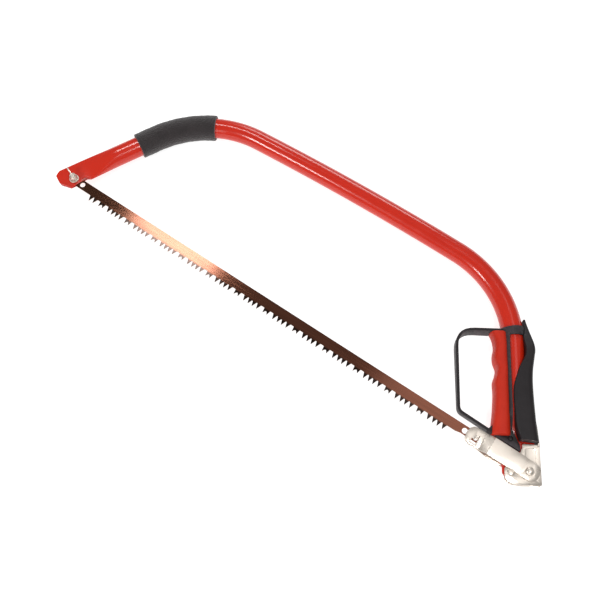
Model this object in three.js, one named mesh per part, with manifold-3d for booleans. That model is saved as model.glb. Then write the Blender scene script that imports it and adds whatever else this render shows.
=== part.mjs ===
// Bow saw, lying flat: X runs along the blade from the nose to the handle, Y from the
// teeth toward the bow, Z up through the thickness. Millimetres.
import * as THREE from 'three';
import { mergeVertices } from 'three/addons/utils/BufferGeometryUtils.js';
import Module from 'manifold-3d';

const wasm = await Module();
wasm.setup();

// ---------- driving dimensions ----------
const tubeRadius = 12.7;          // one-inch steel tube
const tubeWall = 1.5;
const gap = 0.35;                 // clearance between touching pieces
const bendRadius = 135;
const noseStart = [-66.5, -20];   // where the tube's middle line starts, at the nose
const noseHeading = 63.2;         // degrees up from the blade
const frontLegLength = 135;
const crownLength = 295;          // the nearly straight top of the bow
const crownTurn = 4.4;
const rearHeading = -58.6;
const rearLegLength = 165;
const noseHalfWidth = 15.6;
const noseHalfThickness = 2.3;
const tailHalfWidth = 18.4;
const tailHalfThickness = 1.8;

const foamRadius = 16.5;
const foamStart = 112;            // along the tube's middle line
const foamEnd = 217;

const bladeThickness = 0.9;
const bladeEnds = [-62, 544];
const bladeHoles = [-52.5, -39.1, 521, 534.4];
const bladeHoleY = -5.9;
const bladeHoleRadius = 3.3;
const gulletY = -11.9;
const toothTipY = -18.7;
const rakerPitch = 42.55;
const pegOffsets = [11.6, 18.3, 24.2, 30.9];

const boltRadius = 2.9;
const plate = 1.5;                // thickness of every pressed plate
const pivotA = [584.6, -17.3];    // lever on the tube
const pivotB = [601, -6.2];       // link on the lever

const degree = Math.PI / 180;

// ---------- finishes ----------
const finish = (color, roughness, metalness) =>
  new THREE.MeshStandardMaterial({ color, roughness, metalness });
const redPaint = finish(0xcc2a1e, 0.25, 0.1);
const blackFoam = finish(0x3a3234, 0.95, 0);
const brownSteel = finish(0x5a3a2c, 0.4, 0.6);
const zincSteel = finish(0xd9d6d2, 0.3, 0.9);
const blackPlastic = finish(0x2c282a, 0.6, 0);
const redRubber = finish(0xd9402f, 0.6, 0);
const blackSteel = finish(0x262223, 0.4, 0.7);

// ---------- the tube's middle line ----------
const runs = [
  { length: frontLegLength, turn: 0 },
  { length: bendRadius * (noseHeading - 3.2) * degree, turn: 3.2 - noseHeading },
  { length: crownLength, turn: -crownTurn },
  { length: bendRadius * (3.2 - crownTurn - rearHeading) * degree, turn: rearHeading - 3.2 + crownTurn },
  { length: rearLegLength, turn: 0 },
];
const bowLength = runs.reduce((sum, run) => sum + run.length, 0);

// Point and heading on the middle line, s millimetres from the nose.
function bowAt(s) {
  let [x, y] = noseStart;
  let heading = noseHeading * degree;
  let left = s;
  for (const run of runs) {
    const last = run === runs[runs.length - 1];
    const step = last ? left : Math.min(left, run.length);
    const turn = run.turn * degree * (step / run.length);
    const chord = turn === 0 ? step : (2 * step / turn) * Math.sin(turn / 2);
    x += chord * Math.cos(heading + turn / 2);
    y += chord * Math.sin(heading + turn / 2);
    heading += turn;
    left -= step;
    if (left <= 0) break;
  }
  return { x, y, heading };
}

// Places beside the rear leg: along it from the start of the leg, and out from its middle line.
const legStart = bowAt(bowLength - rearLegLength);
function besideLeg(along, out) {
  const c = Math.cos(legStart.heading);
  const s = Math.sin(legStart.heading);
  return [legStart.x + along * c - out * s, legStart.y + along * s + out * c];
}

// ---------- shape helpers ----------
function solidOf(geometry) {
  const bare = geometry.clone();
  bare.deleteAttribute('normal');
  bare.deleteAttribute('uv');
  const merged = mergeVertices(bare, 1e-4);
  return new wasm.Manifold(new wasm.Mesh({
    numProp: 3,
    vertProperties: new Float32Array(merged.attributes.position.array),
    triVerts: new Uint32Array(merged.index.array),
  }));
}

function geometryOf(solid) {
  const mesh = solid.getMesh();
  const geometry = new THREE.BufferGeometry();
  geometry.setAttribute('position', new THREE.BufferAttribute(new Float32Array(mesh.vertProperties), 3));
  geometry.setIndex(new THREE.BufferAttribute(new Uint32Array(mesh.triVerts), 1));
  geometry.computeVertexNormals();
  return geometry;
}

const join = (first, ...others) => others.reduce((sum, other) => sum.add(other), first);
const cut = (first, ...others) => others.reduce((sum, other) => sum.subtract(other), first);

// A flat outline of [x, y] points given thickness from z0 to z1, with round holes.
function slab(points, z0, z1, holes = []) {
  const shape = new THREE.Shape(points.map(([x, y]) => new THREE.Vector2(x, y)));
  for (const [x, y, radius] of holes) {
    const hole = new THREE.Path();
    hole.absarc(x, y, radius, 0, Math.PI * 2, true);
    shape.holes.push(hole);
  }
  const settings = { depth: z1 - z0, bevelEnabled: false, curveSegments: 10 };
  const geometry = new THREE.ExtrudeGeometry(shape, settings);
  geometry.translate(0, 0, z0);
  return geometry;
}

// A round piece turned about an upright axis at a point: profile of [radius, z].
function turned([x, y], profile, segments = 20) {
  const points = profile.map(([radius, z]) => new THREE.Vector2(radius, z));
  const geometry = new THREE.LatheGeometry(points, segments);
  geometry.rotateX(Math.PI / 2);
  geometry.translate(x, y, 0);
  return geometry;
}

const post = (centre, radius, z0, z1, segments = 20) =>
  solidOf(turned(centre, [[0, z0], [radius, z0], [radius, z1], [0, z1]], segments));

// A ring about an upright axis at a point, as a washer or a bush.
const ring = (centre, inner, outer, z0, z1) =>
  turned(centre, [[inner, z0], [outer, z0], [outer, z1], [inner, z1], [inner, z0]]);

// Corners of a polyline rounded off, as a list of points.
function rounded(corners, radius, steps = 5, closed = true) {
  const out = [];
  corners.forEach((corner, i) => {
    if (!closed && (i === 0 || i === corners.length - 1)) {
      out.push(corner.slice(0, 2));
      return;
    }
    const at = new THREE.Vector2(corner[0], corner[1]);
    const before = corners[(i + corners.length - 1) % corners.length];
    const after = corners[(i + 1) % corners.length];
    const a = new THREE.Vector2(before[0], before[1]).sub(at);
    const b = new THREE.Vector2(after[0], after[1]).sub(at);
    const wanted = corner[2] ?? radius;
    const half = Math.acos(THREE.MathUtils.clamp(a.dot(b) / (a.length() * b.length()), -1, 1)) / 2;
    const back = Math.min(wanted / Math.tan(half), a.length() * 0.48, b.length() * 0.48);
    const curve = new THREE.QuadraticBezierCurve(
      at.clone().add(a.setLength(back)), at, at.clone().add(b.setLength(back)));
    curve.getPoints(steps).forEach((p) => out.push([p.x, p.y]));
  });
  return out;
}

// Every rod along the bow shares these stations, so pieces that wrap the tube keep an even gap.
const bendEnd = frontLegLength + runs[1].length;
const legFrom = bowLength - rearLegLength;
const stationSteps = [[38, 19], [80, 7], [frontLegLength, 14], [bendEnd, 10], [bendEnd + crownLength, 60],
  [legFrom, 10], [bowLength - 90, 20], [bowLength - 52, 5.5], [bowLength, 18]];
const stations = [0];
for (const [end, step] of stationSteps) {
  const begin = stations[stations.length - 1];
  const count = Math.max(1, Math.round((end - begin) / step));
  for (let i = 1; i <= count; i++) stations.push(begin + (end - begin) * i / count);
}

// A closed stadium-like rod along the middle line; half width and half thickness vary with s.
function rod(s0, s1, sizeAt, sides = 20, extra = []) {
  const places = [s0, ...stations.filter((s) => s > s0 + 0.5 && s < s1 - 0.5), ...extra, s1];
  places.sort((a, b) => a - b);
  const steps = places.length - 1;
  const geometry = new THREE.CylinderGeometry(1, 1, 1, sides, steps);
  const position = geometry.attributes.position;
  for (let i = 0; i < position.count; i++) {
    const s = places[Math.round((position.getY(i) + 0.5) * steps)];
    const [width, thickness] = sizeAt(s);
    const cx = position.getX(i);
    const cz = position.getZ(i);
    const flat = (width - thickness) * THREE.MathUtils.clamp(cx * 1.6, -1, 1);
    const out = flat + thickness * cx;
    const { x, y, heading } = bowAt(s);
    position.setXYZ(i, x - out * Math.sin(heading), y + out * Math.cos(heading), -thickness * cz);
  }
  return solidOf(geometry);
}

const blendAt = (s, a, b) => THREE.MathUtils.smoothstep(s, Math.min(a, b), Math.max(a, b));

// Half width and half thickness of the tube: round, pressed flat at both ends.
function tubeSize(s, grow = 0) {
  const nose = 1 - blendAt(s, 38, 80);
  const tail = blendAt(s, bowLength - 90, bowLength - 52);
  const width = tubeRadius + (noseHalfWidth - tubeRadius) * nose + (tailHalfWidth - tubeRadius) * tail;
  const thickness = tubeRadius + (noseHalfThickness - tubeRadius) * nose
    + (tailHalfThickness - tubeRadius) * tail;
  return [width + grow, thickness + grow];
}

const group = new THREE.Group();
function add(name, geometry, material) {
  const mesh = new THREE.Mesh(geometry.isBufferGeometry ? geometry : geometryOf(geometry), material);
  mesh.name = name;
  group.add(mesh);
}

// ---------- bow tube ----------
function bowTube() {
  const outer = rod(0, bowLength, (s) => tubeSize(s));
  const hollow = rod(-4, bowLength + 4, (s) => tubeSize(s, -tubeWall), 12);
  // The nose is sheared to a blunt point, with a slot that takes the blade.
  const noseTrim = solidOf(slab([
    ...rounded([[-95, -4], [-77.5, -4, 1], [-75, -18, 8], [-62, -21, 4], [-47.5, -17, 2],
      [-40.5, 4.5, 2], [-35, 7.8, 1], [-10, 7.8], [-10, -60], [-95, -60]], 0.5),
  ], -20, 20));
  const bladeSlot = solidOf(slab([[-58, 1.8], [-30, 1.8], [-30, -26], [-58, -26]], -0.8, 0.8));
  // The tail is sheared to a tongue about the lever's pivot.
  const tailTrim = solidOf(slab([
    ...rounded([besideLeg(118, 30), besideLeg(126, 19), besideLeg(137, 2.5), besideLeg(150, 1),
      besideLeg(157, -6), besideLeg(158, -12), besideLeg(151, -18.2), besideLeg(151, -30),
      besideLeg(190, -30), besideLeg(190, 30)], 3),
  ], -20, 20));
  return cut(outer, hollow, noseTrim, bladeSlot, tailTrim,
    post([bladeHoles[0], bladeHoleY], boltRadius + gap, -20, 20),
    post(pivotA, 4.6, -20, 20),
    post(handleRivetAt, 1.9, -20, 20, 12));
}
const handleRivetAt = besideLeg(114, -9);
add('bow_tube', bowTube(), redPaint);

// ---------- foam grip ----------
const foamSize = (s, radius) => {
  const rim = 1.2 * (1 - blendAt(s, foamStart, foamStart + 4) + blendAt(s, foamEnd - 4, foamEnd));
  return [radius - rim, radius - rim];
};
add('foam_grip', cut(
  rod(foamStart, foamEnd, (s) => foamSize(s, foamRadius), 20, [foamStart + 4, foamEnd - 4]),
  rod(foamStart - 2, foamEnd + 2, () => [tubeRadius + gap, tubeRadius + gap])), blackFoam);

// ---------- blade ----------
// One peg tooth, or a raker with two points, as points along the tooth line.
const pegTooth = (x) => [[x - 2.6, gulletY], [x, toothTipY], [x + 2.6, gulletY]];
const rakerTooth = (x) => [[x - 4.2, gulletY], [x - 3, toothTipY + 0.5], [x, toothTipY + 4.3],
  [x + 3, toothTipY + 0.5], [x + 4.2, gulletY]];
function sawBlade() {
  const teeth = [];
  for (let n = -1; n <= 11; n++) {
    if (n >= 0) teeth.push(...rakerTooth(n * rakerPitch));
    const pegs = n < 0 ? pegOffsets.slice(2) : pegOffsets;
    pegs.forEach((offset) => teeth.push(...pegTooth(n * rakerPitch + offset)));
  }
  const [front, rear] = bladeEnds;
  const outline = [
    ...rounded([[rear - 22, 0, 0.1], [front, 0, 3], [front, gulletY, 3], [-30, gulletY, 0.1]], 1, 3, false),
    ...teeth,
    [rear - 32, gulletY], [rear - 26, -10.6], [rear - 3, -10.6], [rear, -8], [rear, -2.5], [rear - 2.5, 0],
  ];
  const holes = bladeHoles.map((x) => [x, bladeHoleY, bladeHoleRadius]);
  return slab(outline, -bladeThickness / 2, bladeThickness / 2, holes);
}
add('saw_blade', sawBlade(), brownSteel);

// ---------- nose bolt, washers and wing nut ----------
const boltAt = [bladeHoles[0], bladeHoleY];
const noseFace = noseHalfThickness;
function bladeBolt() {
  const head = -noseFace - gap;
  const domedHead = [[0, head - 2.8], [2.2, head - 2.6], [4.6, head - 1.6], [5.6, head]];
  const shank = [[boltRadius, head], [boltRadius, 11.2], [boltRadius - 0.6, 11.8], [0, 11.8]];
  return turned(boltAt, [...domedHead, ...shank]);
}
add('blade_bolt', bladeBolt(), zincSteel);
add('flat_washer', ring(boltAt, boltRadius + 0.3, 6, noseFace + 0.3, noseFace + 1.3), zincSteel);
add('spring_washer', ring(boltAt, boltRadius + 0.3, 4.7, noseFace + 1.6, noseFace + 2.7), zincSteel);
const wingDirection = -18 * degree;
function wingNut() {
  const base = noseFace + 3;
  const hub = solidOf(turned(boltAt, [[0, base], [4.6, base], [4, base + 5.6], [0, base + 5.6]], 20));
  const wing = (side) => {
    const outline = rounded([[2.5, base + 0.6], [7.5, base + 2.4], [12, base + 6.5, 2.4],
      [11, base + 10.5, 2.4], [7.5, base + 8.6, 2], [2.5, base + 4.4]], 0.8, 3);
    const geometry = slab(outline, -0.8, 0.8);
    geometry.rotateX(Math.PI / 2);
    geometry.rotateZ(side);
    geometry.translate(boltAt[0], boltAt[1], 0);
    return solidOf(geometry);
  };
  const open = post(boltAt, boltRadius + 0.3, base - 3, base + 20);
  return cut(join(hub, wing(wingDirection), wing(wingDirection + Math.PI)), open);
}
add('wing_nut', wingNut(), zincSteel);

// ---------- handle: core with collar and knuckle guard, and the soft grip ----------
const rimOut = -6.4;              // where the core's rim ends, out from the leg's middle line
const tubeRoom = rod(bowLength - rearLegLength - 60, bowLength, (s) => tubeSize(s, gap));
const collarStart = bowLength - rearLegLength - 16.5;
const guardPath = [[503, 122], [452.1, 90.6, 21], [503.7, 9.3, 9], [566, 8.2]];
// The guard is a strap, broad at the collar and narrow at the foot.
const { clamp, mapLinear, lerp, smoothstep } = THREE.MathUtils;
const guardHalfWidth = (y) => mapLinear(clamp(y, 10, 118), 10, 118, 5.2, 9.6);

// The palm side of the soft grip: distance in from the leg's middle line, with two finger hollows.
const palm = [[-10.6, 27.5], [-3, 24], [7, 22.7], [17, 24.4], [24.5, 24], [33, 21.4], [41, 22.7],
  [49, 25.2], [63, 25], [84, 26.6], [97, 28.3], [104, 29.2]];

function guardRibbon() {
  const middle = rounded(guardPath, 5, 7, false).map(([x, y]) => new THREE.Vector2(x, y));
  const half = 1.55;
  const side = (sign) => middle.map((point, i) => {
    const before = middle[Math.max(i - 1, 0)];
    const after = middle[Math.min(i + 1, middle.length - 1)];
    const along = after.clone().sub(before).normalize();
    return [point.x - sign * half * along.y, point.y + sign * half * along.x];
  });
  const geometry = slab([...side(1), ...side(-1).reverse()], -1, 1);
  const position = geometry.attributes.position;
  for (let i = 0; i < position.count; i++) {
    position.setZ(i, position.getZ(i) * guardHalfWidth(position.getY(i)));
  }
  return solidOf(geometry);
}

// Prism over a band beside the leg, used to choose what part of a rod is kept.
const band = (points, z = 30) => solidOf(slab(points.map(([along, out]) => besideLeg(along, out)), -z, z));

function handleCore() {
  const saddle = rod(collarStart, bowLength - 62, (s) => tubeSize(s, 2.4))
    .intersect(band([[-30, rimOut], [115, rimOut], [115, -40], [-30, -40]]));
  const collar = rod(collarStart, collarStart + 10.5, (s) => tubeSize(s, 2.2));
  const base = solidOf(slab(rounded([
    besideLeg(86, -13), besideLeg(103, -7), besideLeg(121.5, 1.2), [582.5, 6.4, 1],
    [540, 6.4, 2], [541, 10, 1]], 1.5), -6.4, 6.4));
  const spine = solidOf(slab(palm.map(([along, depth]) => besideLeg(along, -depth + 4.2))
    .concat([besideLeg(107, -24), besideLeg(107, -10), besideLeg(-9, -10)]), -6, 6));
  return cut(join(saddle, collar, base, spine, guardRibbon()), tubeRoom,
    post(handleRivetAt, 1.9, -20, 20, 12));
}
const core = handleCore();

function softGrip() {
  const geometry = new THREE.CylinderGeometry(1, 1, 1, 24, 26);
  const position = geometry.attributes.position;
  const palmLine = new THREE.SplineCurve(palm.map(([along, depth]) => new THREE.Vector2(along, depth)));
  const rim = 8.8;
  for (let i = 0; i < position.count; i++) {
    const t = position.getY(i) + 0.5;
    const { x: along, y: depth } = palmLine.getPoint(t);
    const middle = (rim + depth) / 2;
    const half = (depth - rim) / 2;
    const thick = 14.4 - 1.6 * Math.abs(2 * t - 1) ** 3;
    const px = position.getX(i);
    const pz = position.getZ(i);
    const square = (v) => Math.sign(v) * Math.abs(v) ** 0.72;
    const [x, y] = besideLeg(along, -(middle + half * square(px)));
    position.setXYZ(i, x, y, thick * square(pz));
  }
  const leg = rod(collarStart, bowLength - 50, (s) => tubeSize(s, gap));
  // Clear of the core by a hair: the core is cut out of it, grown along each axis.
  const shifts = [[gap, 0, 0], [-gap, 0, 0], [0, gap, 0], [0, -gap, 0], [0, 0, gap], [0, 0, -gap], [0, 0, 0]];
  const grown = shifts.map((shift) => core.translate(shift));
  return cut(solidOf(geometry), leg, ...grown);
}

add('handle_core', core, blackPlastic);
add('soft_grip', softGrip(), redRubber);

// Domed rivet through the stack, symmetrical about the middle plane.
function rivet(centre, shank, head, under, height, segments = 20) {
  const side = [[head, under], [head * 0.86, under + height * 0.55], [head * 0.5, under + height * 0.92],
    [0, under + height]];
  const down = side.map(([radius, z]) => [radius, -z]).reverse();
  return turned(centre, [...down, [shank, -under], [shank, under], ...side], segments);
}
add('handle_rivet', rivet(handleRivetAt, 1.6, 3, 6.7, 1, 14), blackSteel);

// ---------- tension lever ----------
// Pan-head screws from the outside, through the grip and its tang. Places along the leg.
const screwPlaces = [62, 34];
function onOuterFace(geometry, along, out) {
  const [x, y] = besideLeg(along, out);
  geometry.rotateY(Math.PI / 2);
  geometry.rotateZ(legStart.heading + Math.PI / 2);
  geometry.translate(x, y, 0);
  return geometry;
}
const screwSeat = 17.4;

const flangeInner = 2.15;
const flangeOuter = flangeInner + plate;
const webOut = 23.3;
const leverEdge = [[118.6, 4], [122.5, 4.4], [129, 1.4], [141, -12], [146, -16, 4], [151, -16.4, 4],
  [158, -15, 5], [162.5, -9, 5], [163.5, 2, 8], [163, webOut, 1.5], [118.6, webOut - 0.4]];

function leverChannel() {
  const outline = rounded(leverEdge.map(([along, out, r]) => [...besideLeg(along, out), r]), 2);
  const block = solidOf(slab(outline, -flangeOuter, flangeOuter));
  const inside = solidOf(slab([[98, -40], [98, webOut - plate - 0.3], [180, webOut - plate], [180, -40]]
    .map(([along, out]) => besideLeg(along, out)), -flangeInner, flangeInner));
  // The tang runs up inside the plastic grip, on the outer side of the tube.
  const tang = solidOf(slab([[121, webOut - 0.6], [99, 21], [80, 17.2], [22, 16.4], [22, 14.8], [80, 15.6],
    [99, 19.4], [121, webOut - 2.2]].map(([along, out]) => besideLeg(along, out)), -6, 6));
  const screwHoles = screwPlaces.map((along) => solidOf(onOuterFace(
    turned([0, 0], [[0, -8], [1.85, -8], [1.85, 3], [0, 3]], 14), along, screwSeat)));
  return cut(join(cut(block, inside), tang), post(pivotA, 3.6, -20, 20), post(pivotB, 2.9, -20, 20),
    ...screwHoles);
}
add('lever_channel', leverChannel(), zincSteel);

// The plastic grip is a channel that wraps the outer half of the tube, with a curled tip.
const gripInnerEdge = [[-27, 11.4], [-17, 10.5], [-4.5, 9.5], [10, 11], [20, 9.6], [32, 3.2], [42, -0.4],
  [54, -4], [67, -5], [84, -4.6], [101, -3.4], [115.5, 0.8]];
const gripOuterEdge = [[117.3, 21.5], [94, 19.6], [58, 18.3], [37, 19], [19, 21.8], [11, 22.8], [1, 21.4],
  [-14, 17.4], [-27, 13.8]];
function leverGrip() {
  const spline = (points, count) => new THREE.SplineCurve(
    points.map(([along, out]) => new THREE.Vector2(...besideLeg(along, out))))
    .getPoints(count).map((p) => [p.x, p.y]);
  const outline = [...spline(gripInnerEdge, 20), ...spline(gripOuterEdge, 18)];
  const body = solidOf(slab(outline, -15.6, 15.6));
  // Crowned outer face: the block is kept only inside a fat rod that follows the outline.
  const crown = new THREE.CylinderGeometry(1, 1, 1, 28, 18);
  const position = crown.attributes.position;
  const outerLine = new THREE.SplineCurve([...gripOuterEdge].reverse()
    .map(([along, out]) => new THREE.Vector2(along, out)));
  for (let i = 0; i < position.count; i++) {
    const t = position.getY(i) + 0.5;
    const { x: along, y: out } = outerLine.getPoint(t);
    const square = (v) => Math.sign(v) * Math.abs(v) ** 0.6;
    const thick = lerp(7, 15.6, smoothstep(along, -30, 20));
    const overhang = t > 0.99 ? 4 : t < 0.01 ? -4 : 0;
    const [x, y] = besideLeg(along + overhang, out - 22 + 22 * square(position.getX(i)));
    position.setXYZ(i, x, y, -thick * square(position.getZ(i)));
  }
  const tangRoom = solidOf(slab([[121, webOut - 0.2], [99, 21.4], [80, 17.6], [21, 16.8],
    [21, 14.4], [80, 15.2], [99, 19], [121, webOut - 2.6]]
    .map(([along, out]) => besideLeg(along, out)), -6.4, 6.4));
  const leverRoom = rod(bowLength - rearLegLength - 70, bowLength, (s) => tubeSize(s, 0.8));
  const collarRoom = rod(collarStart - 1, collarStart + 11.5, (s) => tubeSize(s, 2.7));
  return { body, crown: solidOf(crown), tangRoom, leverRoom, collarRoom };
}

const gripPieces = leverGrip();
const sunkHole = [[0, -8], [1.9, -8], [1.9, -0.4], [3.9, -0.4], [3.9, 12], [0, 12]];
const screwHoles = screwPlaces.map((along) => solidOf(
  onOuterFace(turned([0, 0], sunkHole, 14), along, screwSeat)));
add('lever_grip', cut(gripPieces.body.intersect(gripPieces.crown), gripPieces.tangRoom,
  gripPieces.leverRoom, gripPieces.collarRoom, ...screwHoles), blackPlastic);
screwPlaces.forEach((along, i) => add(`lever_grip_screw_${i + 1}`, onOuterFace(
  turned([0, 0], [[0, -3.2], [1.5, -3.2], [1.5, 0], [3.5, 0], [3.2, 1.2], [2, 1.9], [0, 2.1]], 14),
  along, screwSeat), zincSteel));

add('lever_pivot_rivet', rivet(pivotA, 3.3, 4.4, flangeOuter + 0.25, 0.95), zincSteel);
add('pivot_bush', ring(pivotA, 3.6, 4.3, -tailHalfThickness, tailHalfThickness), zincSteel);

// ---------- blade link: two cheeks that meet at the blade and straddle the lever ----------
const linkTop = 5.1;
const linkBottom = -16.3;
const nearBlade = 0.8;            // inner face of a cheek at the blade, past the tube and on the lever
const overTube = 5.05;
const onLever = flangeOuter + 0.3;
const linkLevels = [[515, nearBlade], [543, nearBlade], [553, overTube], [586, overTube], [593, onLever],
  [620, onLever]];
function linkCheek(side) {
  const edge = rounded([[523.4, linkTop, 10.6], [612, linkTop, 10.6], [612, linkBottom, 10.6],
    [523.4, linkBottom, 10.6]], 10.6, 8);
  const outline = solidOf(slab(edge, -30, 30));
  const inner = linkLevels.map(([x, level]) => [x, level]);
  const outer = linkLevels.map(([x, level]) => [x, level + plate]).reverse();
  const profile = slab([...inner, ...outer], -30, 30);
  profile.rotateX(Math.PI / 2);
  let cheek = solidOf(profile).intersect(outline);
  const window = solidOf(slab([[531.3, -8.9], [534.4, -8.9], [534.4, -1.9], [538, -1.9], [538, -13.4],
    [531.3, -13.4]], -20, 20));
  cheek = cut(cheek, window, post(pivotB, 2.9, 0, 20));
  if (side < 0) cheek = cheek.mirror([0, 0, 1]);
  return cheek;
}
add('link_front_cheek', linkCheek(1), zincSteel);
add('link_rear_cheek', linkCheek(-1), zincSteel);
add('link_pivot_rivet', rivet(pivotB, 2.6, 4.8, onLever + plate + 0.3, 2.6), zincSteel);
add('link_spacer', ring(pivotB, 2.9, 4.4, -flangeInner + 0.25, flangeInner - 0.25), zincSteel);

// ---------- stand the saw on the floor, centred ----------
group.updateMatrixWorld(true);
const box = new THREE.Box3().setFromObject(group);
const centre = box.getCenter(new THREE.Vector3());
group.position.set(-centre.x, -centre.y, -box.min.z);

export default group;
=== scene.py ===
import bmesh
import bpy
import math
from mathutils import Matrix, Vector


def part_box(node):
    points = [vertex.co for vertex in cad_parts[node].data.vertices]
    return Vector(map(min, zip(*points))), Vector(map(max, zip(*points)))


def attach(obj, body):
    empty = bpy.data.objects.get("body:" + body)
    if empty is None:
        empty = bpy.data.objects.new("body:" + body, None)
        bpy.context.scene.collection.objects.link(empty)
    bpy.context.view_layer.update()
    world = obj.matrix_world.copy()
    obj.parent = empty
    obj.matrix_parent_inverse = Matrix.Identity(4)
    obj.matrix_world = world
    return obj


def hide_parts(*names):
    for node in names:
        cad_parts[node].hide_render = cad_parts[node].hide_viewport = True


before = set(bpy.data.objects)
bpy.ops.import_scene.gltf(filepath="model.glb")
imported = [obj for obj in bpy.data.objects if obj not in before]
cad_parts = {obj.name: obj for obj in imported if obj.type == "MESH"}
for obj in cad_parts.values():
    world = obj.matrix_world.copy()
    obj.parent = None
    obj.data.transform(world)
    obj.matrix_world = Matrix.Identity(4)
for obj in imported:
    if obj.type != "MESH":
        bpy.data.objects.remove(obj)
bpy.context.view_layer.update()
print("frame loaded")

# The saw is laid out in millimetres: x from the first raker, y from the blade's back edge, z from the
# middle of its thickness.
bladeLow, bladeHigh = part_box("saw_blade")
firstRaker = 62  # from the blade's front end
shiftX = bladeLow.x * 1000 + firstRaker
shiftY = bladeHigh.y * 1000
midZ = (bladeLow.z + bladeHigh.z) * 500


def place(x, y, z=0.0):
    return Vector(((x + shiftX) / 1000, (y + shiftY) / 1000, (z + midZ) / 1000))


def blendAt(v, a, b):
    t = min(1, max(0, (v - a) / (b - a)))
    return t * t * (3 - 2 * t)


# The tube's middle line.
bow = {"start": (-66.5, -20), "heading": 63.2, "bend": 135, "front": 135, "crown": 295,
       "crownHeading": 3.2, "crownTurn": 4.4, "rearHeading": -58.6, "rear": 165, "radius": 12.7,
       "nose": (15.6, 2.3), "noseTaper": (38, 80), "tail": (18.4, 1.8), "tailTaper": (90, 52)}
bowRuns = [  # length and turn of each run, from the nose
    (bow["front"], 0),
    (bow["bend"] * math.radians(bow["heading"] - bow["crownHeading"]), bow["crownHeading"] - bow["heading"]),
    (bow["crown"], -bow["crownTurn"]),
    (bow["bend"] * math.radians(bow["crownHeading"] - bow["crownTurn"] - bow["rearHeading"]),
     bow["rearHeading"] - bow["crownHeading"] + bow["crownTurn"]),
    (bow["rear"], 0),
]
bowLength = sum(run[0] for run in bowRuns)
legAt = bowLength - bow["rear"]


def bowAt(s):
    (x, y), heading, left = bow["start"], math.radians(bow["heading"]), s
    for i, (length, turn) in enumerate(bowRuns):
        step = left if i == len(bowRuns) - 1 else min(left, length)
        bend = math.radians(turn) * step / length
        chord = step if turn == 0 else 2 * step / bend * math.sin(bend / 2) if bend else 0
        x += chord * math.cos(heading + bend / 2)
        y += chord * math.sin(heading + bend / 2)
        heading += bend
        left -= step
        if left <= 0:
            break
    return x, y, heading


legX, legY, legHeading = bowAt(legAt)


def besideLeg(along, out):
    c, s = math.cos(legHeading), math.sin(legHeading)
    return legX + along * c - out * s, legY + along * s + out * c


# Mesh helpers.
mergeWithin = 2e-6  # metres


def sweptSolid(steps, sides, pointAt):
    bm = bmesh.new()
    spot = bm.verts.layers.int.new("spot")
    ring = bmesh.ops.create_circle(bm, cap_ends=False, radius=1, segments=sides)["verts"]
    for i, v in enumerate(ring):
        v[spot] = i
    first = edges = bm.edges[:]
    for n, step in enumerate(steps):
        if n:
            grown = bmesh.ops.extrude_edge_only(bm, edges=edges)["geom"]
            ring = [g for g in grown if isinstance(g, bmesh.types.BMVert)]
            edges = [g for g in grown if isinstance(g, bmesh.types.BMEdge) and g.is_boundary]
        for v in ring:
            v.co = pointAt(step, v[spot] / sides * math.tau)
    bmesh.ops.contextual_create(bm, geom=first)
    bmesh.ops.contextual_create(bm, geom=edges)
    bmesh.ops.recalc_face_normals(bm, faces=bm.faces)
    return bm


def bowRod(s0, s1, sizeAt, sides=48, spacing=4.0):
    count = max(2, round((s1 - s0) / spacing))
    steps = [s0 + (s1 - s0) * i / count for i in range(count + 1)]
    return bowRodAt(steps, sizeAt, sides)


def bowRodAt(steps, sizeAt, sides=48):
    def pointAt(s, angle):
        width, thick = sizeAt(s)
        c = math.sin(angle)
        out = (width - thick) * min(1, max(-1, c * 1.6)) + thick * c
        x, y, heading = bowAt(s)
        return place(x - out * math.sin(heading), y + out * math.cos(heading), thick * math.cos(angle))
    return sweptSolid(steps, sides, pointAt)


def tubeSize(s, grow=0.0):
    nose = 1 - blendAt(s, *bow["noseTaper"])
    tail = blendAt(s, *(bowLength - left for left in bow["tailTaper"]))
    size = (bow["radius"] + (flat - bow["radius"]) * nose + (end - bow["radius"]) * tail
            for flat, end in zip(bow["nose"], bow["tail"]))
    return tuple(v + grow for v in size)


def prism(corners, along):
    bm = bmesh.new()
    face = bm.faces.new([bm.verts.new(corner) for corner in corners])
    grown = bmesh.ops.extrude_face_region(bm, geom=[face])["geom"]
    bmesh.ops.translate(bm, vec=along, verts=[g for g in grown if isinstance(g, bmesh.types.BMVert)])
    bmesh.ops.recalc_face_normals(bm, faces=bm.faces)
    return bm


def slab(points, z0, z1):
    return prism([place(x, y, z0) for x, y in points], (0, 0, (z1 - z0) / 1000))


def pin(radius, reach, centre):
    return turned([(0, -reach), (radius, -reach), (radius, reach), (0, reach)], centre)


def turned(profile, centre, segments=48):
    bm = bmesh.new()
    cx, cy = centre
    verts = [bm.verts.new(place(cx + r, cy, z)) for r, z in profile]
    edges = [bm.edges.new(pair) for pair in zip(verts, verts[1:])]
    bmesh.ops.spin(bm, geom=verts + edges, cent=place(cx, cy), axis=(0, 0, 1), angle=math.tau,
                   steps=segments, use_merge=True)
    bmesh.ops.remove_doubles(bm, verts=bm.verts, dist=1e-6)
    bmesh.ops.recalc_face_normals(bm, faces=bm.faces)
    return bm


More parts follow.
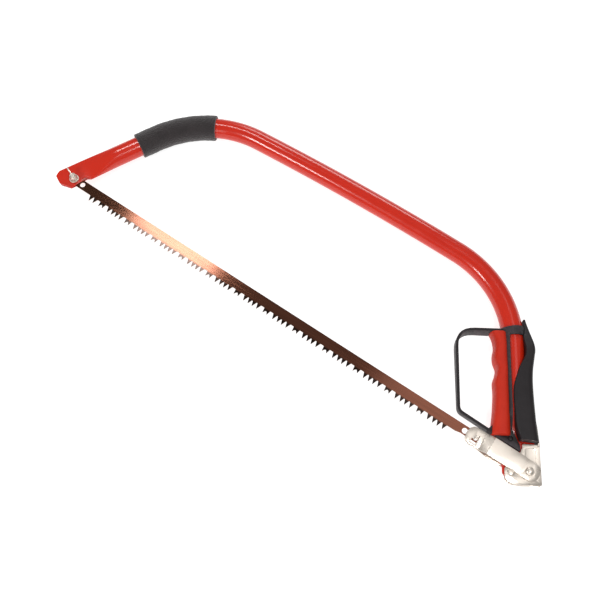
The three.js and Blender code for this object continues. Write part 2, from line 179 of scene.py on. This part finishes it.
def rounded(corners, radius, steps=8, closed=True):
    out = []
    for i, corner in enumerate(corners):
        if not closed and i in (0, len(corners) - 1):
            out.append(tuple(corner[:2]))
            continue
        at = Vector(corner[:2])
        a = Vector(corners[i - 1][:2]) - at
        b = Vector(corners[(i + 1) % len(corners)][:2]) - at
        wanted = corner[2] if len(corner) > 2 else radius
        half = a.angle(b) / 2
        back = min(wanted / math.tan(half), a.length * 0.48, b.length * 0.48)
        p, q = at + a.normalized() * back, at + b.normalized() * back
        for k in range(steps + 1):
            t = k / steps
            out.append(tuple(p * (1 - t) ** 2 + at * (2 * t * (1 - t)) + q * t * t))
    return out


def looseObject(name, bm):
    mesh = bpy.data.meshes.new(name)
    bm.to_mesh(mesh)
    bm.free()
    obj = bpy.data.objects.new(name, mesh)
    bpy.context.collection.objects.link(obj)
    return obj


def settle(obj):
    # the modifiers' result becomes the mesh
    graph = bpy.context.evaluated_depsgraph_get()
    mesh = bpy.data.meshes.new_from_object(obj.evaluated_get(graph))
    obj.modifiers.clear()
    obj.data = mesh


def carve(bm, *cutters):
    obj = looseObject("carving", bm)
    tools = [looseObject("cutter", c) for c in cutters]
    for tool in tools:
        cut = obj.modifiers.new("cut", "BOOLEAN")
        cut.operation, cut.solver, cut.object = "DIFFERENCE", "EXACT", tool
    settle(obj)
    out = bmesh.new()
    out.from_mesh(obj.data)
    for tool in tools + [obj]:
        bpy.data.objects.remove(tool)
    bmesh.ops.remove_doubles(out, verts=out.verts, dist=mergeWithin)
    return out


def copyOfNode(node):
    bm = bmesh.new()
    bm.from_mesh(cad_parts[node].data)
    bmesh.ops.remove_doubles(bm, verts=bm.verts, dist=mergeWithin)
    # flat faces are joined up again, so that the bevel meets whole edges
    bmesh.ops.dissolve_limit(bm, angle_limit=math.radians(3), verts=bm.verts, edges=bm.edges)
    return bm


def piece(name, bm, body, slot, finish, stands, edge=0.0, segments=2, sharp=32):
    obj = looseObject(name, bm)
    for face in obj.data.polygons:
        face.use_smooth = True
    if edge:
        bevel = obj.modifiers.new("rounded edges", "BEVEL")
        bevel.width, bevel.segments, bevel.profile = edge / 1000, segments, 0.5
        bevel.limit_method, bevel.angle_limit = "ANGLE", math.radians(sharp)
        bevel.harden_normals = True
    else:
        obj.data.set_sharp_from_angle(angle=math.radians(sharp))
    obj.data.materials.clear()
    obj.data.materials.append(finish)
    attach(obj, body)
    if stands:
        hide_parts(*stands)
    return obj


# Finishes.
def linear(hexColour):
    parts = [int(hexColour[i:i + 2], 16) / 255 for i in (0, 2, 4)]
    return [p / 12.92 if p <= 0.04045 else ((p + 0.055) / 1.055) ** 2.4 for p in parts] + [1]


def addNode(tree, kind, attributes=None, inputs=None, links=None):
    node = tree.nodes.new(kind)
    for key, value in (attributes or {}).items():
        setattr(node, key, value)
    for key, value in (inputs or {}).items():
        node.inputs[key].default_value = value
    for key, output in (links or {}).items():
        tree.links.new(output, node.inputs[key])
    return node


def millimetres(size):
    return 1000 / size  # a pattern's scale on coordinates in metres


def startFinish(name):
    finish = bpy.data.materials.new(name)
    finish.use_nodes = True
    return finish, finish.node_tree, finish.node_tree.nodes["Principled BSDF"]


def patchyFinish(name, look):
    finish, tree, shader = startFinish(name)
    at = addNode(tree, "ShaderNodeTexCoord").outputs["Object"]
    broad = addNode(tree, "ShaderNodeTexNoise", None,
                    {"Scale": millimetres(look["patch"]), "Detail": 4, "Roughness": 0.6}, {"Vector": at})
    colour = addNode(tree, "ShaderNodeMix", {"data_type": "RGBA"},
                     {6: linear(look["dark"]), 7: linear(look["light"])}, {0: broad.outputs["Fac"]})
    out = colour.outputs[2]
    if "worn" in look:  # rubbed edges
        point = addNode(tree, "ShaderNodeNewGeometry").outputs["Pointiness"]
        scuff = addNode(tree, "ShaderNodeTexNoise", None,
                        {"Scale": millimetres(look["scuff"]), "Detail": 5}, {"Vector": at})
        ramp = addNode(tree, "ShaderNodeMapRange", None,
                       {1: look.get("wornFrom", 0.53), 2: look.get("wornTo", 0.6)}, {0: point})
        both = addNode(tree, "ShaderNodeMath", {"operation": "MULTIPLY"}, None,
                       {0: ramp.outputs[0], 1: scuff.outputs["Fac"]})
        out = addNode(tree, "ShaderNodeMix", {"data_type": "RGBA"}, {7: linear(look["worn"])},
                      {0: both.outputs[0], 6: out}).outputs[2]
    tree.links.new(out, shader.inputs["Base Color"])
    fine = addNode(tree, "ShaderNodeTexNoise", None,
                   {"Scale": millimetres(look["smudge"]), "Detail": 6, "Roughness": 0.65}, {"Vector": at})
    rough = addNode(tree, "ShaderNodeMapRange", None,
                    {1: 0.3, 2: 0.7, 3: look["roughness"][0], 4: look["roughness"][1]},
                    {0: fine.outputs["Fac"]})
    tree.links.new(rough.outputs[0], shader.inputs["Roughness"])
    kind = "ShaderNodeTexVoronoi" if look.get("pores") else "ShaderNodeTexNoise"
    grain = addNode(tree, kind, None, {"Scale": millimetres(look["grain"])}, {"Vector": at})
    bump = addNode(tree, "ShaderNodeBump", None,
                   {"Strength": look.get("strength", 0.5), "Distance": look["relief"] / 1000},
                   {"Height": grain.outputs[0]})
    tree.links.new(bump.outputs[0], shader.inputs["Normal"])
    for socket, value in look.get("shader", {}).items():
        shader.inputs[socket].default_value = value
    return finish


# Wet-sprayed enamel on steel tube: even, glossy, a trace of orange peel.
redEnamel = patchyFinish("red enamel", {
    "dark": "C41E08", "light": "D62A0E", "patch": 70, "worn": "8E8A86", "scuff": 3, "wornFrom": 0.58,
    "wornTo": 0.66, "smudge": 25, "roughness": (0.16, 0.26), "grain": 2.4, "relief": 0.02, "strength": 0.25,
    "shader": {"Coat Weight": 0.3, "Coat Roughness": 0.06, "Specular IOR Level": 0.4}})
# Closed-cell foam sleeve: dull, charcoal, pitted with cells drawn coarser than real ones, to show.
charcoalFoam = patchyFinish("charcoal foam", {
    "dark": "1E191A", "light": "332C2D", "patch": 14, "smudge": 6, "roughness": (0.85, 0.98),
    "grain": 1.9, "relief": 0.6, "strength": 1.0, "pores": True,
    "shader": {"Sheen Weight": 0.3, "Sheen Roughness": 0.6, "Specular IOR Level": 0.25}})
# Bright zinc plate over pressed steel: near-white metal, soft mottled gloss.
zincPlate = patchyFinish("zinc plated steel", {
    "dark": "DDD1C4", "light": "EFE6DB", "patch": 12, "smudge": 6,
    "roughness": (0.26, 0.36), "grain": 2.2, "relief": 0.01, "strength": 0.08,
    "shader": {"Metallic": 0.9}})
# Steel rivet with a black oxide finish: dark, with small soft glints.
blackSteel = patchyFinish("black oxide steel", {
    "dark": "1B1819", "light": "2E2A2B", "patch": 4, "smudge": 3, "roughness": (0.3, 0.45),
    "grain": 1, "relief": 0.02, "strength": 0.3, "shader": {"Metallic": 0.7}})
# Glass-filled nylon, moulded: grey-black with a spark-eroded grain, drawn coarser than real, to show.
blackNylon = patchyFinish("black moulded nylon", {
    "dark": "191517", "light": "292426", "patch": 22, "worn": "4A4347", "scuff": 2.5, "smudge": 7,
    "roughness": (0.42, 0.6), "grain": 0.8, "relief": 0.06, "strength": 0.5,
    "shader": {"Specular IOR Level": 0.3}})
# Thermoplastic rubber, overmoulded: satin orange-red, slightly dusty, its grain coarse enough to show.
redRubber = patchyFinish("red moulded rubber", {
    "dark": "C0240F", "light": "CE3018", "patch": 18, "worn": "E8705F", "scuff": 3, "smudge": 6,
    "roughness": (0.44, 0.6), "grain": 0.9, "relief": 0.05, "strength": 0.4,
    "shader": {"Specular IOR Level": 0.25}})


lacquer = {"front": "4E2E1E", "rear": "7C4A38", "length": (-60, 545), "streak": 2, "teeth": "2A1C16",
           "teethFrom": (-11.4, -13.2), "ground": "9C8068", "roughness": (0.11, 0.17), "relief": 0.03,
           "shader": {"Metallic": 0.88, "Coat Weight": 0.15, "Coat Roughness": 0.1}}


def bladeFinish():
    # Spring steel with a brown baked lacquer: streaked along its length, dark at the hardened teeth, paler
    # on the ground edges.
    finish, tree, shader = startFinish("brown lacquered spring steel")
    at = addNode(tree, "ShaderNodeTexCoord").outputs["Object"]
    parts = addNode(tree, "ShaderNodeSeparateXYZ", None, None, {0: at})
    x0, x1 = (place(x, 0).x for x in lacquer["length"])
    lengthways = addNode(tree, "ShaderNodeMapRange", None, {1: x0, 2: x1}, {0: parts.outputs[0]})
    base = addNode(tree, "ShaderNodeMix", {"data_type": "RGBA"},
                   {6: linear(lacquer["front"]), 7: linear(lacquer["rear"])}, {0: lengthways.outputs[0]})
    stretched = addNode(tree, "ShaderNodeMapping", None, {"Scale": (0.05, 1, 1)}, {0: at})
    streaks = addNode(tree, "ShaderNodeTexNoise", None,
                      {"Scale": millimetres(lacquer["streak"]), "Detail": 5},
                      {"Vector": stretched.outputs[0]})
    streaked = addNode(tree, "ShaderNodeMix", {"data_type": "RGBA", "blend_type": "MULTIPLY"}, {0: 0.5},
                       {6: base.outputs[2], 7: streaks.outputs["Fac"]})
    lift = addNode(tree, "ShaderNodeMix", {"data_type": "RGBA", "blend_type": "ADD"}, {0: 0.25},
                   {6: streaked.outputs[2], 7: base.outputs[2]})
    y0, y1 = (place(0, y).y for y in lacquer["teethFrom"])
    toothward = addNode(tree, "ShaderNodeMapRange", None, {1: y0, 2: y1}, {0: parts.outputs[1]})
    teeth = addNode(tree, "ShaderNodeMix", {"data_type": "RGBA"}, {7: linear(lacquer["teeth"])},
                    {0: toothward.outputs[0], 6: lift.outputs[2]})
    facing = addNode(tree, "ShaderNodeSeparateXYZ", None, None,
                     {0: addNode(tree, "ShaderNodeNewGeometry").outputs["True Normal"]})
    upward = addNode(tree, "ShaderNodeMath", {"operation": "ABSOLUTE"}, None, {0: facing.outputs[2]})
    edge = addNode(tree, "ShaderNodeMapRange", None, {1: 0.6, 2: 0.3}, {0: upward.outputs[0]})
    ground = addNode(tree, "ShaderNodeMix", {"data_type": "RGBA"}, {7: linear(lacquer["ground"])},
                     {0: edge.outputs[0], 6: teeth.outputs[2]})
    tree.links.new(ground.outputs[2], shader.inputs["Base Color"])
    smooth, dull = lacquer["roughness"]
    rough = addNode(tree, "ShaderNodeMapRange", None, {1: 0.3, 2: 0.7, 3: smooth, 4: dull},
                    {0: streaks.outputs["Fac"]})
    tree.links.new(rough.outputs[0], shader.inputs["Roughness"])
    bump = addNode(tree, "ShaderNodeBump", None, {"Strength": 0.25, "Distance": lacquer["relief"] / 1000},
                   {"Height": streaks.outputs["Fac"]})
    tree.links.new(bump.outputs[0], shader.inputs["Normal"])
    for socket, value in lacquer["shader"].items():
        shader.inputs[socket].default_value = value
    return finish


brownLacquer = bladeFinish()
print("finishes made")


# Bow tube.
boltAt = (-52.5, -5.9)  # the blade bolt, through the tube's nose
tube = {
    "wall": 1.5, "edge": 0.4, "past": 20, "boltHole": 3.25,
    "noseCut": [(-95, -4), (-77.5, -4, 1), (-75, -18, 8), (-62, -21, 4), (-47.5, -17, 2), (-40.5, 4.5, 2),
                (-35, 7.8, 1), (-10, 7.8), (-10, -60), (-95, -60)],
    "slot": [(-58, 1.8), (-30, 1.8), (-30, -26), (-58, -26)], "slotHalf": 0.8,
    "tailCut": [(118, 30), (126, 19), (137, 2.5), (150, 1), (157, -6), (158, -12), (151, -18.2),
                (151, -30), (190, -30), (190, 30)]}


def makeTube():
    past = tube["past"]  # how far the cutters reach each way
    outer = bowRod(0, bowLength, tubeSize, 64, 4)
    hollow = bowRod(-4, bowLength + 4, lambda s: tubeSize(s, -tube["wall"]), 48, 6)
    nose = slab(rounded(tube["noseCut"], 0.5), -past, past)
    slot = slab(tube["slot"], -tube["slotHalf"], tube["slotHalf"])
    tail = slab(rounded([besideLeg(*spot) for spot in tube["tailCut"]], 3), -past, past)
    body = carve(outer, hollow, nose, slot, tail, pin(tube["boltHole"], past, boltAt))
    piece("bowTubeEnamelled", body, "root", "red_paint", redEnamel, ["bow_tube"], tube["edge"], 2, 40)


makeTube()
print("tube made")


# Foam grip.
foam = {"from": 112, "to": 217, "radius": 16.5, "slack": 0.25, "bore": 12.72, "rim": 1.3, "rings": 40}


def makeFoam():
    steps, inset = [], {}
    for k in range(9):  # a quarter circle at each rim
        t = math.radians(90 * k / 8)
        s, drop = foam["rim"] * (1 - math.sin(t)), foam["rim"] * (1 - math.cos(t))
        steps += [foam["from"] + s, foam["to"] - s]
        inset[round(foam["from"] + s, 4)] = inset[round(foam["to"] - s, 4)] = drop
    count = foam["rings"]
    inner = [foam["from"] + foam["rim"] + (foam["to"] - foam["from"] - 2 * foam["rim"]) * i / count
             for i in range(1, count)]
    steps = sorted(set(round(s, 4) for s in steps + inner))

    def sizeAt(s):
        wobble = 0.12 * math.sin(s * 0.31) + 0.1 * math.sin(s * 0.83 + 1)  # slightly uneven walls
        r = foam["radius"] - foam["slack"] - inset.get(s, 0) + (0 if s in inset else wobble)
        return r, r
    solid = bowRodAt(steps, sizeAt, 64)
    bore = bowRod(foam["from"] - 4, foam["to"] + 4, lambda s: (foam["bore"], foam["bore"]), 64, 3)
    sleeve = piece("foamSleeve", carve(solid, bore), "root", "black_foam", charcoalFoam, ["foam_grip"],
                   sharp=50)


makeFoam()
print("foam made")

# Blade.
blade = {
    "ends": (-62, 544), "half": 0.45, "gullet": -11.9, "tip": -18.7, "pitch": 42.55, "edge": 0.06,
    "pegs": (11.6, 18.3, 24.2, 30.9), "holes": (-52.5, -39.1, 521, 534.4), "holeY": -5.9, "hole": 3.3,
    "set": 0.35, "setBelow": 0.3, "setUpTo": 490, "pegReach": 3.2}
# Each tooth's outline: distance from its middle, and height above the gullet line or above the tip line.
peg = [(-3, "gullet", 0), (-2.4, "gullet", -0.8), (-0.15, "tip", 0), (0.15, "tip", 0),
       (2.4, "gullet", -0.8), (3, "gullet", 0)]
raker = [(-4.6, "gullet", 0), (-4.1, "gullet", -0.6), (-3, "tip", 0.5), (-1.4, "tip", 3.2), (0, "tip", 4.3),
         (1.4, "tip", 3.2), (3, "tip", 0.5), (4.1, "gullet", -0.6), (4.6, "gullet", 0)]


def toothAt(x, outline):
    return [(x + across, blade[level] + rise) for across, level, rise in outline]


def makeBlade():
    g, tip = blade["gullet"], blade["tip"]
    front, rear = blade["ends"]
    points = rounded([(rear - 22, 0), (front, 0, 3), (front, g, 3), (-30, g)], 1, 4, False)
    for n in range(-1, 12):
        x = n * blade["pitch"]
        if n >= 0:
            points += toothAt(x, raker)
        for offset in blade["pegs"][2 if n < 0 else 0:]:
            points += toothAt(x + offset, peg)
    points += [(rear - 32, g), (rear - 26, -10.6), (rear - 3, -10.6), (rear, -8), (rear, -2.5),
               (rear - 2.5, 0)]
    body = slab(points, -blade["half"], blade["half"])
    bm = carve(body, *(pin(blade["hole"], 3, (x, blade["holeY"])) for x in blade["holes"]))
    origin = place(0, 0)
    for v in bm.verts:  # the pegs are set to one side and the other
        x, y = (v.co.x - origin.x) * 1000, (v.co.y - origin.y) * 1000
        if y < g - blade["setBelow"] and x < blade["setUpTo"]:
            local = x % blade["pitch"]
            near = min(range(4), key=lambda k: abs(local - blade["pegs"][k]))
            if abs(local - blade["pegs"][near]) < blade["pegReach"]:
                side = 1 if near % 2 else -1
                v.co.z += side * blade["set"] * (g - y) / (g - tip) / 1000
    piece("sawBladeLacquered", bm, "blade", "brown_steel", brownLacquer, ["saw_blade"], blade["edge"], 1, 50)


makeBlade()
print("blade made")

# Soft grip.
softGrip = {
    "rim": 8.0, "half": 14.4, "taper": 1.6, "steps": 90, "round": 2.6, "length": 115, "squareness": 0.72,
    "clear": 0.05,
    # distance along the leg, and depth from its middle line on the palm side
    "palm": [(-10.6, 27.5), (-3, 24), (7, 22.7), (17, 24.4), (24.5, 24), (33, 21.4), (41, 22.7), (49, 25.2),
             (63, 25), (84, 26.6), (97, 28.3), (111, 29.6)]}


def smoothLine(points, t):
    f = t * (len(points) - 1)
    i = min(int(f), len(points) - 2)
    w = f - i
    p = [points[max(0, min(len(points) - 1, k))] for k in (i - 1, i, i + 1, i + 2)]
    return tuple(0.5 * (2 * p[1][k] + (p[2][k] - p[0][k]) * w
                        + (2 * p[0][k] - 5 * p[1][k] + 4 * p[2][k] - p[3][k]) * w * w
                        + (3 * p[1][k] - p[0][k] - 3 * p[2][k] + p[3][k]) * w ** 3) for k in (0, 1))


def square(v, power):
    return math.copysign(abs(v) ** power, v)


def makeSoftGrip():
    count, roundness, corner = softGrip["steps"], softGrip["round"], softGrip["squareness"]

    def pointAt(t, angle):
        along, depth = smoothLine(softGrip["palm"], t)
        end = min(t, 1 - t) * softGrip["length"]  # distance from the nearest end
        soften = roundness * (1 - math.sqrt(max(0, 1 - (1 - min(1, end / roundness)) ** 2)))
        middle, half = (softGrip["rim"] + depth) / 2, (depth - softGrip["rim"]) / 2 - soften
        thick = softGrip["half"] - softGrip["taper"] * abs(2 * t - 1) ** 3 - soften
        x, y = besideLeg(along, -(middle + half * square(math.sin(angle), corner)))
        return place(x, y, thick * square(math.cos(angle), corner))
    fineEnds = [k / 800 for k in range(1, 12)]
    steps = sorted(set([0, 1] + fineEnds + [1 - v for v in fineEnds]
                       + [0.02 + 0.96 * i / count for i in range(count + 1)]))
    solid = sweptSolid(steps, 64, pointAt)
    room = bowRod(legAt - 20, bowLength - 50, lambda s: tubeSize(s, softGrip["clear"]), 48, 4)
    piece("softPalmGrip", carve(solid, room), "root", "red_grip", redRubber, ["soft_grip"], sharp=50)


makeSoftGrip()
print("soft grip made")

# Lever grip.
leverGrip = {
    "thin": 7, "swell": 8.6, "swellOver": (-30, 20), "edge": 0.5, "steps": 110,
    "shoulder": 0.12, "crown": 0.5,  # how square the inner side is, and how round the outer one
    "tubeRoom": 0.8, "collarRoom": 2.7, "collar": (-17.5, -5),
    # distance along the leg, and outwards from its middle line
    "inner": [(-27, 11.4), (-17, 10.5), (-4.5, 9.5), (10, 11), (20, 9.6), (32, 3.2), (42, -0.4), (54, -4),
              (67, -5), (84, -4.6), (101, -3.4), (115.5, 0.8)],
    "outer": [(-27, 13.8), (-14, 17.4), (1, 21.4), (11, 22.8), (19, 21.8), (37, 19), (58, 18.3), (94, 19.6),
              (117.3, 21.5)]}


def makeLeverGrip():
    def pointAt(t, angle):
        ia, io = smoothLine(leverGrip["inner"], t)
        oa, oo = smoothLine(leverGrip["outer"], t)
        thick = leverGrip["thin"] + leverGrip["swell"] * blendAt(ia, *leverGrip["swellOver"])
        c, z = math.sin(angle), math.cos(angle)
        power = leverGrip["crown"] if c > 0 else leverGrip["shoulder"]
        mix = 0.5 + 0.5 * square(c, power)
        x, y = besideLeg(ia + (oa - ia) * mix, io + (oo - io) * mix)
        return place(x, y, thick * square(z, power))
    count = leverGrip["steps"]
    solid = sweptSolid([i / count for i in range(count + 1)], 72, pointAt)
    room = bowRod(legAt - 70, bowLength, lambda s: tubeSize(s, leverGrip["tubeRoom"]), 48, 4)
    begin, end = (legAt + v for v in leverGrip["collar"])
    collarRoom = bowRod(begin, end, lambda s: tubeSize(s, leverGrip["collarRoom"]), 48, 4)
    piece("leverGripMoulded", carve(solid, room, collarRoom), "lever", "black_plastic", blackNylon,
          ["lever_grip"], leverGrip["edge"], 2, 40)


makeLeverGrip()
print("lever grip made")

# Pressed and moulded pieces, with their edges rounded.
edged = {
    "handle_core": ("handleCoreMoulded", "root", "black_plastic", blackNylon, 0.5),
    "lever_channel": ("leverPressed", "lever", "zinc_plate", zincPlate, 0.35),
    "link_front_cheek": ("linkCheekFront", "link", "zinc_plate", zincPlate, 0.3),
    "link_rear_cheek": ("linkCheekRear", "link", "zinc_plate", zincPlate, 0.3),
    "wing_nut": ("wingNutCast", "wing_nut", "zinc_plate", zincPlate, 0.3),
    "lever_grip_screw_1": ("gripScrewUpper", "lever", "zinc_plate", zincPlate, 0.15),
    "lever_grip_screw_2": ("gripScrewLower", "lever", "zinc_plate", zincPlate, 0.15),
}
panel = {"corners": [(123, 7.5), (140, 7.5), (148, 17.5), (123, 17.5)], "round": 4, "z": (3.4, 6)}
recess = rounded([besideLeg(*corner) for corner in panel["corners"]], panel["round"])
for node, (name, body, slot, finish, edge) in edged.items():
    solid = copyOfNode(node)
    if node == "lever_channel":  # shallow pressed panels in both flanges
        low, high = panel["z"]
        solid = carve(solid, slab(recess, low, high), slab(recess, -high, -low))
    bends = 15 if node.startswith("link") else 35  # the cheeks' shallow folds stay crisp
    piece(name, solid, body, slot, finish, [node], edge, 2, bends)

# Round pieces.
noseFace, flange = 2.3, 3.65  # from the middle plane to the tube's nose and to the lever's flange


def domed(shank, head, under, height):
    side = [(head, under), (head * 0.97, under + height * 0.3), (head * 0.86, under + height * 0.58),
            (head * 0.68, under + height * 0.8), (head * 0.4, under + height * 0.95), (0, under + height)]
    return [(r, -z) for r, z in reversed(side)] + [(shank, -under), (shank, under)] + side


def washer(inner, outer, z0, z1):
    return [(inner, z0), (outer, z0), (outer, z1), (inner, z1), (inner, z0)]


pivotA, pivotB = (584.6, -17.3), (601, -6.2)  # lever on tube, and link on lever
headZ = -noseFace - 0.35
roundPieces = {
    "blade_bolt": ("bladeBoltCarriage", "root", boltAt, [
        (0, headZ - 2.8), (2.2, headZ - 2.6), (3.6, headZ - 2.2), (4.8, headZ - 1.5), (5.6, headZ),
        (2.9, headZ), (2.9, 11.2), (2.3, 11.8), (0, 11.8)]),
    "flat_washer": ("boltWasherFlat", "root", boltAt, washer(3.2, 6, noseFace + 0.3, noseFace + 1.3)),
    "spring_washer": ("boltWasherSpring", "root", boltAt, washer(3.2, 4.7, noseFace + 1.6, noseFace + 2.7)),
    "handle_rivet": ("handleRivetDomed", "root", besideLeg(114, -9), domed(1.6, 3, 6.7, 1)),
    "lever_pivot_rivet": ("leverRivetDomed", "root", pivotA, domed(3.3, 4.4, flange + 0.25, 0.95)),
    "pivot_bush": ("leverBush", "root", pivotA, washer(3.6, 4.3, -1.8, 1.8)),
    "link_pivot_rivet": ("linkRivetDomed", "link", pivotB, domed(2.6, 4.8, flange + 2.1, 2.6)),
    "link_spacer": ("linkSpacerRound", "link", pivotB, washer(2.9, 4.4, -1.9, 1.9)),
}
for node, (name, body, centre, profile) in roundPieces.items():
    slot, finish = ("black_steel", blackSteel) if node == "handle_rivet" else ("zinc_plate", zincPlate)
    piece(name, turned(profile, centre), body, slot, finish, [node], 0.12, 2, 40)


# Bent tab in the link's window, over the blade's end hole.
tab = {"x": (534.6, 537.6), "edge": 0.25,
       "line": [(-1.7, 2.3), (-3.2, 2.35), (-5.2, 2.0), (-6.8, 1.4), (-7.6, 0.6), (-6.4, 0.6), (-5.8, 0.95),
                (-4.6, 1.25), (-3.0, 1.4), (-1.7, 1.4)]}


def makeTab():
    x0, x1 = tab["x"]
    solid = prism([place(x0, y, z) for y, z in tab["line"]], ((x1 - x0) / 1000, 0, 0))
    piece("linkTabBent", solid, "link", "zinc_plate", zincPlate, [], tab["edge"], 3, 35)


makeTab()
print("small pieces made")

# Floor, light and camera.
stage = {"reach": 9000, "under": (12, 0.3), "card": "B9B9B8", "glow": 0.8, "ambient": 0.3, "backdrop": 0.97}
reach = stage["reach"]
floor = looseObject("floor", slab([(-reach, -reach), (reach, -reach), (reach, reach), (-reach, reach)],
                                  *(-midZ - drop for drop in stage["under"])))
# Matt white card that glows a little, so that it stays pale around a soft shadow.
card, _, shader = startFinish("plain white card")
for socket, value in {"Base Color": linear(stage["card"]), "Roughness": 0.9,
                      "Emission Color": linear("FFFFFF"), "Emission Strength": stage["glow"]}.items():
    shader.inputs[socket].default_value = value
floor.data.materials.append(card)

world = bpy.context.scene.world or bpy.data.worlds.new("soft studio")
bpy.context.scene.world = world
world.use_nodes = True
sky = world.node_tree.nodes["Background"]
sky.inputs[0].default_value = linear("FFFFFF")
# the backdrop looks white, while it lights the saw only softly
rays = addNode(world.node_tree, "ShaderNodeLightPath")
backdrop = addNode(world.node_tree, "ShaderNodeMapRange", None, {3: stage["ambient"], 4: stage["backdrop"]},
                   {0: rays.outputs["Is Camera Ray"]})
world.node_tree.links.new(backdrop.outputs[0], sky.inputs[1])

lamps = {
    "softKey": {"at": (0.42, 0.36, 1.6), "to": (0.3, -0.1, 0), "size": (0.9, 0.9), "power": 2.7},
    "sideLight": {"at": (-0.62, -1.15, 0.95), "to": (-0.1, 0, 0), "size": (0.3, 0.3), "power": 6.5},
    "frontFill": {"at": (0.6, -1.3, 0.9), "to": (0.1, 0, 0), "size": (1.3, 0.8), "power": 6},
    "backFill": {"at": (-0.5, 1.3, 0.8), "to": (0, 0, 0), "size": (0.8, 0.5), "power": 6.5},
    "legLight": {"at": (0.57, -0.24, 1.2), "to": (-0.3, 0, 0), "size": (0.15, 0.15), "power": 2.6},
    "bladeLight": {"at": (-0.56, 0.183, 0.895), "to": (-0.56, 0.183, 0), "size": (0.25, 0.07), "power": 1.3},
}
for name, lamp in lamps.items():
    data = bpy.data.lights.new(name, "AREA")
    data.shape = "RECTANGLE"
    data.size, data.size_y = lamp["size"]
    data.energy = lamp["power"]
    obj = bpy.data.objects.new(name, data)
    obj.location = lamp["at"]
    obj.rotation_mode = "QUATERNION"
    aim = Vector(lamp["to"]) - Vector(lamp["at"])
    obj.rotation_quaternion = aim.to_track_quat("-Z", "Y")
    bpy.context.collection.objects.link(obj)

view = {"lens": 48, "sensor": 36, "from": (504.6, -271.6, 878.2), "right": (0.8206, 0.5711, -0.02),
        "ahead": (-0.2357, 0.3063, -0.9223)}
camera = bpy.data.cameras.new("camera")
camera.lens, camera.sensor_width = view["lens"], view["sensor"]
cameraObject = bpy.data.objects.new("camera", camera)
ahead = Vector(view["ahead"]).normalized()
up = Vector(view["right"]).normalized().cross(ahead).normalized()
right = ahead.cross(up)
cameraObject.matrix_world = Matrix.Translation(place(*view["from"])) @ Matrix(
    (right, up, -ahead)).transposed().to_4x4()
bpy.context.collection.objects.link(cameraObject)
bpy.context.scene.camera = cameraObject
bpy.context.scene.view_settings.view_transform = "Standard"
print("stage set")
